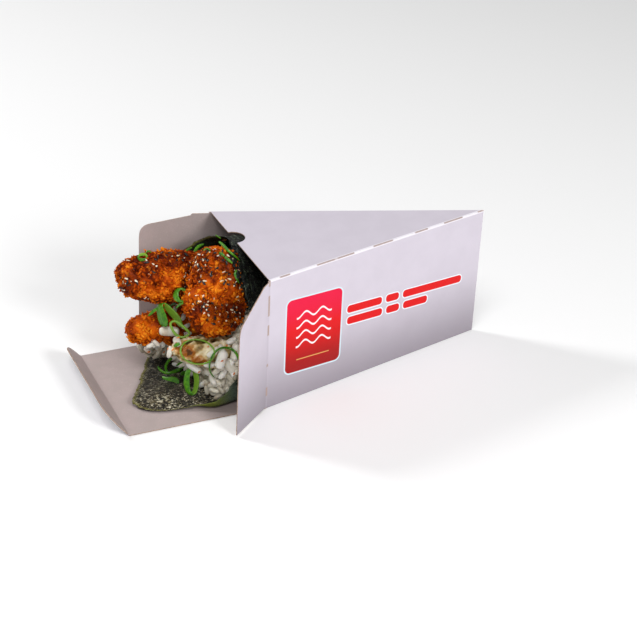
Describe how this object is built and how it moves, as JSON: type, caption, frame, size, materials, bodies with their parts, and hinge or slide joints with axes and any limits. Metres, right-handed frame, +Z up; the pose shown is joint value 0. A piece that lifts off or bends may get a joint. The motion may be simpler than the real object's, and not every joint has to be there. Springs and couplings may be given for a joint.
{
  "type": "temaki hand roll in its card case",
  "caption": "Cone of nori with rice, breaded pieces, cream cheese and cut spring onion, lying in its open wedge-shaped card case with folded lid, lip and dust flaps.",
  "frame": {"origin": "on the underside of the case's bottom panel, half-way between the mouth's edge and the tip, and half-way across the mouth", "axes": "+X towards the case's tip, -X out of its mouth, +Y to its far wall, +Z up from the surface it lies on"},
  "size_m": [0.2401, 0.1211, 0.08],
  "materials": {
    "white_card": "matt white outside, grey-brown kraft inside",
    "nori": "roasted seaweed sheet, semi-gloss, dark green-black",
    "breaded_crust": "crisp fried crumb glazed with dark sauce",
    "cream": "soft, semi-gloss",
    "rice": "moist cooked grains",
    "spring_onion": "fresh, glossy green"
  },
  "bodies": {
    "case_and_roll": {"case_body": "white_card", "nori": "nori", "rice": "rice", "cream_cheese": "cream", "breaded_front": "breaded_crust", "breaded_back": "breaded_crust", "breaded_low": "breaded_crust", "onion_loop": "spring_onion", "onion_ring_left": "spring_onion", "onion_ring_thin": "spring_onion", "onion_arc_thin": "spring_onion", "onion_ring_thick": "spring_onion", "onion_arc_low": "spring_onion", "onion_chunk": "spring_onion", "onion_curl": "spring_onion", "onion_ring_top": "spring_onion", "onion_back": "spring_onion", "onion_strip": "spring_onion", "onion_stub": "spring_onion", "onion_sliver": "spring_onion"},
    "lid": {"lid": "white_card"},
    "tuck_lip": {"tuck_lip": "white_card"},
    "near_flap": {"near_flap": "white_card"},
    "far_flap": {"far_flap": "white_card"}
  },
  "joints": [
    {"name": "lid_crease", "type": "hinge", "parent": "case_and_roll", "child": "lid", "pos_m": [-0.075, 0, 0.00025], "axis": [0, 1, 0], "range_deg": [-90, 0]},
    {"name": "lip_crease", "type": "hinge", "parent": "lid", "child": "tuck_lip", "pos_m": [-0.154, 0, 0.00025], "axis": [0, 1, 0], "range_deg": [-50, 40]},
    {"name": "near_flap_crease", "type": "hinge", "parent": "case_and_roll", "child": "near_flap", "pos_m": [-0.075, -0.04375, 0.04], "axis": [0, 0, 1], "range_deg": [-50, 90]},
    {"name": "far_flap_crease", "type": "hinge", "parent": "case_and_roll", "child": "far_flap", "pos_m": [-0.075, 0.04375, 0.04], "axis": [0, 0, 1], "range_deg": [-110, 15]}
  ]
}
